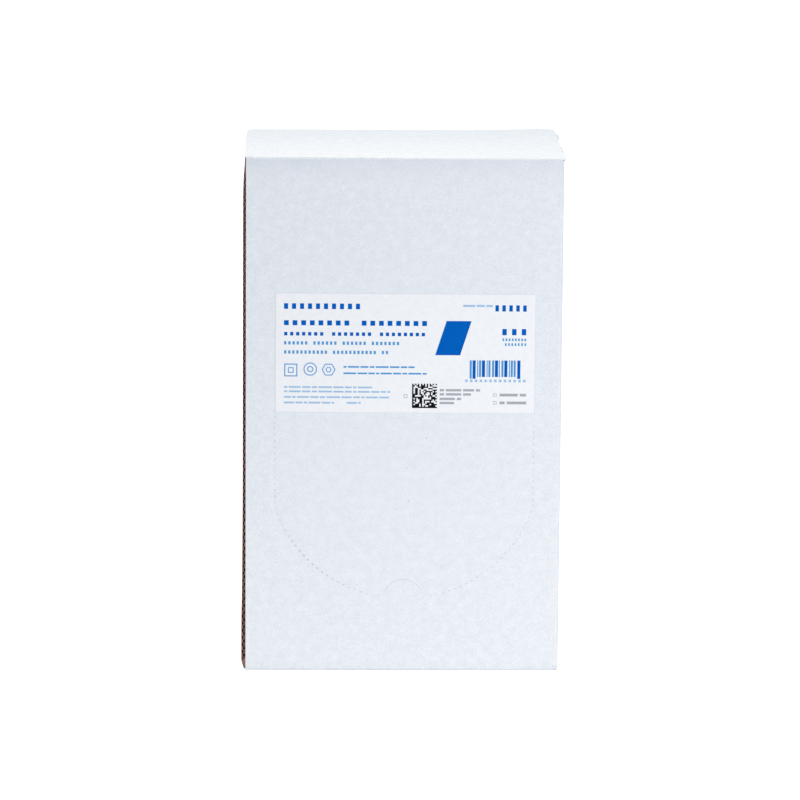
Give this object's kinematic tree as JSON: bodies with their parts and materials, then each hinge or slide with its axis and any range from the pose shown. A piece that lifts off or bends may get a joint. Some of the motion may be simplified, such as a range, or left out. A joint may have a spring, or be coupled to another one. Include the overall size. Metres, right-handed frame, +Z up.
{
  "type": "sealed corrugated dispenser carton",
  "caption": "Sealed upright carton of white corrugated board: flaps glued at both ends, a tear-out dispensing door marked by a row of cuts with a half-moon thumb cut, and a paper label above it.",
  "frame": {"origin": "centre of the foot: middle of the overall width and depth, on the underside of the bottom flap", "axes": "+Z up along the carton's height, +X to the right seen from the front, +Y from the front panel to the back panel; the labelled front panel faces -Y"},
  "size_m": [0.1516, 0.0901, 0.248],
  "materials": {
    "white_board": "matt white-topped liner with bare brown flutes at the cut edges",
    "label_paper": "smooth coated paper with blue and black print fields"
  },
  "bodies": {
    "root": {"carton": "white_board", "label": "label_paper"}
  },
  "joints": []
}
